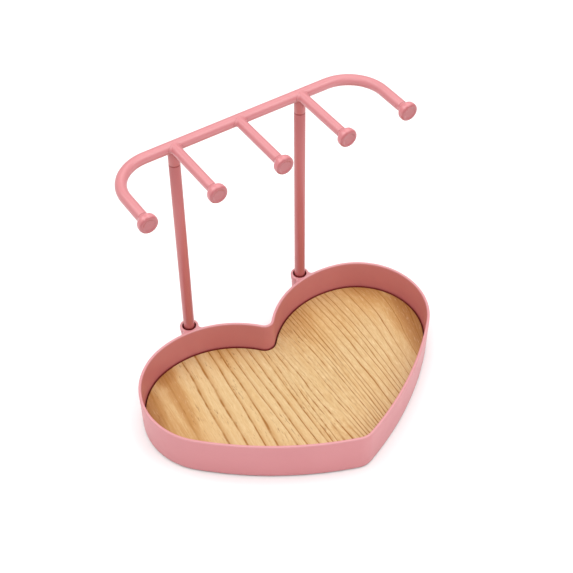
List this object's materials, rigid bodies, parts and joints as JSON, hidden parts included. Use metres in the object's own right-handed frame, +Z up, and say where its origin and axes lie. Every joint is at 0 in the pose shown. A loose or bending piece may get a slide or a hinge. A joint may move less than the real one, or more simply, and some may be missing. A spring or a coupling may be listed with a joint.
{
  "type": "jewelry display rack",
  "caption": "Heart-shaped tray with a wooden board, and two posts behind it that carry a rail with pegs and bent ends, each ending in a round button.",
  "frame": {"origin": "middle of the outer box, on the surface that the foot pads stand on", "axes": "+Z up, +X to the right seen from the front, -Y to the front where the heart's tip points"},
  "size_m": [0.2318, 0.1638, 0.2095],
  "materials": {
    "tray_plastic": "satin moulded plastic, dusty pink",
    "rod_paint": "satin paint on steel rod, dusty pink",
    "knob_plastic": "satin plastic buttons, dusty pink",
    "pin_steel": "plain turned steel",
    "board_wood": "clear matt lacquer on pale ash",
    "pad_rubber": "soft clear grey rubber"
  },
  "bodies": {
    "tray": {"tray": "tray_plastic", "foot_pad_rear_left": "pad_rubber", "foot_pad_rear_right": "pad_rubber", "foot_pad_side_left": "pad_rubber", "foot_pad_side_right": "pad_rubber", "foot_pad_tip": "pad_rubber"},
    "board": {"wood_board": "board_wood"},
    "posts": {"post_left": "rod_paint", "post_right": "rod_paint"},
    "rail": {"knob_end_left": "knob_plastic", "knob_end_right": "knob_plastic", "knob_peg_left": "knob_plastic", "knob_peg_middle": "knob_plastic", "knob_peg_right": "knob_plastic", "peg_left": "rod_paint", "peg_middle": "rod_paint", "peg_right": "rod_paint", "rail_stub_left": "rod_paint", "rail_stub_right": "rod_paint", "spigot_left": "pin_steel", "spigot_right": "pin_steel", "top_rail": "rod_paint"}
  },
  "joints": [
    {"name": "board_lift", "type": "slide", "parent": "tray", "child": "board", "axis": [0, 0, 1], "range_m": [0, 0.034]},
    {"name": "posts_lift", "type": "slide", "parent": "tray", "child": "posts", "axis": [0, 0, 1], "range_m": [0, 0.034]},
    {"name": "rail_lift", "type": "slide", "parent": "posts", "child": "rail", "axis": [0, 0, 1], "range_m": [0, 0.024]}
  ]
}
